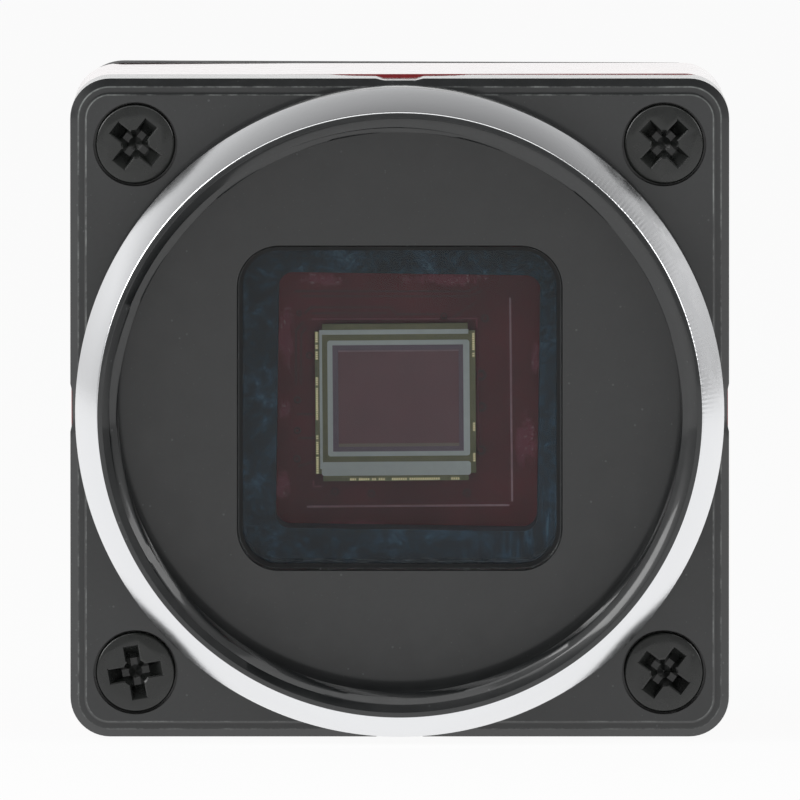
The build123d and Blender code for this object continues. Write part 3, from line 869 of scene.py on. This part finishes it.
def make_board_details():
    """Silkscreen lines, covered tracks, a painted reflection of the die's edges, and covered holes on the front
    of the sensor board.
    """
    tracks = (
        ((296, 291), (468, 291), (478, 286)),
        ((302, 296), (470, 296), (482, 290)),
        ((305, 313), (311, 307), (390, 307), (397, 314), (438, 314)),
        ((312, 313), (388, 313)),
        ((296, 384), (296, 330), (303, 322)),
        ((301, 384), (301, 334), (306, 328)),
        ((298, 414), (312, 414)),
        ((299, 438), (313, 438)),
        ((299, 466), (313, 462)),
        ((452, 318), (470, 306), (476, 302)),
    )
    bm = bmesh.new()
    for line in tracks:
        ribbon(bm, [sensor_place(*point) for point in line], 0.1, BOARD - 0.012, BOARD + 0.05)
    for line in (((510.1, 298.2), (512.2, 500.6)), ((307.5, 506.6), (508.6, 505.1))):
        ribbon(bm, [sensor_place(*point) for point in line], 0.085, BOARD - 0.02, BOARD + 0.05, 1)
    # Painted reflection of the die's cavity edges: light lines along the top, down the right side and round the
    # lower left corner.
    outline = (
        ((312.6, 318.9), (438.9, 318.5)),
        ((448.4, 318.4), (476.8, 318.2), (478.0, 398), (478.2, 450)),
        ((313.4, 481), (313.6, 486.4), (321, 486.4)),
    )
    for line in outline:
        ribbon(bm, [sensor_place(*point) for point in line], 0.07, BOARD - 0.016, BOARD + 0.05, 2)
    bmesh.ops.recalc_face_normals(bm, faces=bm.faces)
    piece(bm, "board_print_and_reflection", [track, silk, die_edge_reflection])
    holes = (
        (443.9, 315.6, 3.4), (484.8, 318.1, 4.2), (481, 374.9, 5.5), (481.6, 406.8, 5), (481, 450.1, 5),
        (334.9, 491.6, 4.2), (371.3, 493.5, 4), (466.9, 492.9, 4.2), (309.4, 355.1, 3.6),
        (297.5, 399.8, 3.8), (297.3, 430.4, 3.6), (297.0, 458.8, 3.8), (299.2, 313, 3),
    )
    bm = bmesh.new()
    for px, py, size in holes:
        centre = sensor_place(px, py)
        radius = size / 22.6
        rows = ((radius, 0.05), (radius, -0.004), (radius * 0.8, -0.012), (radius * 0.4, 0.004), (0.01, 0.006))
        loops = [loop(bm, ring_points(r, 24, centre), BOARD + s) for r, s in rows]
        loft(bm, loops)
        bm.faces.new(loops[0])
        bm.faces.new(loops[-1])
    bmesh.ops.recalc_face_normals(bm, faces=bm.faces)
    piece(bm, "board_holes", [hole_red])


def make_field_border():
    """Thin films between the metal frame and the pixels."""
    left, right, bottom, top = BORDER_OUTER
    inner_left, inner_right, inner_bottom, inner_top = FIELD_EDGES
    tilt = math.radians(DIE_TURN)
    strips = (
        (left, inner_left, bottom, top, 0),
        (inner_right, right, bottom, top, 0),
        (inner_left, inner_right, inner_top + 0.07, top, 0),
        (inner_left, inner_right, inner_top, inner_top + 0.07, 1),
        (inner_left, inner_right, inner_bottom - 0.14, inner_bottom, 2),
        (inner_left, inner_right, bottom, inner_bottom - 0.14, 0),
    )
    bm = bmesh.new()
    for x0, x1, z0, z1, index in strips:
        points = []
        for x, z in ((x0, z0), (x1, z0), (x1, z1), (x0, z1)):
            points.append(
                (
                    DIE[0] + x * math.cos(tilt) - z * math.sin(tilt),
                    DIE[1] + x * math.sin(tilt) + z * math.cos(tilt),
                )
            )
        near = loop(bm, points, DIE_FRONT - 0.02)
        far = loop(bm, points, DIE_FRONT + 0.01)
        faces = [bm.faces.new(near), bm.faces.new(far)]
        for i in range(4):
            j = (i + 1) % 4
            faces.append(bm.faces.new((near[i], near[j], far[j], far[i])))
        for face in faces:
            face.material_index = index
    bmesh.ops.recalc_face_normals(bm, faces=bm.faces)
    piece(bm, "field_border_films", [border, pink_film, tan_film])


make_board_details()
make_field_border()


# Camera: far away, 2.6 degrees above the lens axis

scene = bpy.context.scene
scene.view_settings.view_transform = "Standard"
DISTANCE = 1300 * MM
ELEVATION = math.radians(2.6)
OUTLINE_Y = (FLANGE_Y + OUTLINE + BEVEL) * MM
PIXELS_PER_MM = 22.77
target = Vector(((400 - 399.7) / PIXELS_PER_MM * MM, OUTLINE_Y, (AXIS_Z + 7.6 / PIXELS_PER_MM) * MM))
camera_data = bpy.data.cameras.new("camera")
camera_data.sensor_width = 36
camera_data.lens = 36 * PIXELS_PER_MM * DISTANCE / MM / 800
camera = bpy.data.objects.new("camera", camera_data)
scene.collection.objects.link(camera)
camera.location = target + DISTANCE * Vector((0, -math.cos(ELEVATION), math.sin(ELEVATION)))
camera.rotation_euler = (target - camera.location).to_track_quat("-Z", "Y").to_euler()
scene.camera = camera


# Floor, backdrop and lamps

def sees_background(tree):
    """1 for camera, glossy and transmission rays, by sums of the Light Path's outputs."""
    path = tree.nodes.new("ShaderNodeLightPath")
    total = tree.maths("ADD", path.outputs["Is Camera Ray"], path.outputs["Is Glossy Ray"])
    total = tree.maths("ADD", total, path.outputs["Is Transmission Ray"])
    return tree.maths("MINIMUM", total, 1.0)


def floor_material():
    tree = Tree("floor")
    tree.set(Base_Color=(0.9, 0.9, 0.9, 1), Roughness=0.9, Specular_IOR_Level=0.0)
    glow = tree.node("Emission", Color=(1, 1, 1, 1), Strength=1.0)
    both = tree.nodes.new("ShaderNodeMixShader")
    tree.links.new(tree.maths("MULTIPLY", sees_background(tree), 0.94), both.inputs[0])
    tree.links.new(tree.shader.outputs[0], both.inputs[1])
    tree.links.new(glow.outputs[0], both.inputs[2])
    tree.links.new(both.outputs[0], tree.out.inputs["Surface"])
    return tree.material


floor_mesh = bpy.data.meshes.new("floor")
reach = 6.0
floor_mesh.from_pydata(
    [(-reach, -reach, 0), (reach, -reach, 0), (reach, reach, 0), (-reach, reach, 0)], [], [(0, 1, 2, 3)]
)
floor_mesh.materials.append(floor_material())
floor = bpy.data.objects.new("floor", floor_mesh)
scene.collection.objects.link(floor)


def make_world():
    """White to the camera; the model sees a white wall behind it and greyer surroundings."""
    world = bpy.data.worlds.new("studio")
    scene.world = world
    world.use_nodes = True
    tree = Tree.__new__(Tree)
    tree.nodes = world.node_tree.nodes
    tree.links = world.node_tree.links
    path = tree.nodes.new("ShaderNodeLightPath")
    generated = tree.nodes.new("ShaderNodeTexCoord").outputs["Generated"]
    split = tree.node("SeparateXYZ", Vector=generated)
    x, y, z = (split.outputs[name] for name in "XYZ")
    greys = [(0.0, 0.64), (0.3, 0.9), (0.52, 0.62), (0.66, 0.46), (1.0, 0.3)]
    sky = tree.ramp(z, *[(place, (grey, grey, grey)) for place, grey in greys])
    sides = tree.spread(x, 1.05, 0.78, -0.4, 0.4)
    depth = tree.spread(y, 0.45, 1.0, -0.3, 0.6)
    strength = tree.maths("MULTIPLY", tree.maths("MULTIPLY", sky, sides), depth)
    wall = tree.spread(y, 0.0, 1.0, 0.93, 0.985)
    strength = tree.maths("MAXIMUM", strength, wall)
    strength = tree.maths("MAXIMUM", strength, path.outputs["Is Camera Ray"])
    background = tree.nodes["Background"]
    background.inputs["Color"].default_value = (1, 1, 1, 1)
    tree.links.new(strength, background.inputs["Strength"])


make_world()


def lamp(name, location, size, watts, aim=(0, -12, 14.5)):
    data = bpy.data.lights.new(name, "AREA")
    data.shape = "RECTANGLE"
    data.size, data.size_y = (s * MM for s in size)
    data.energy = watts
    obj = bpy.data.objects.new(name, data)
    obj.location = Vector(location) * MM
    obj.rotation_euler = (Vector(aim) * MM - obj.location).to_track_quat("-Z", "Y").to_euler()
    obj.visible_camera = False
    scene.collection.objects.link(obj)


lamp("lamp_left", (-294, -235, 216), (220, 220), 0.76)
lamp("lamp_right", (319, -235, 182), (200, 200), 0.38)
lamp("lamp_top", (0, -75, 100), (120, 50), 0.024, (0, -10, 22))
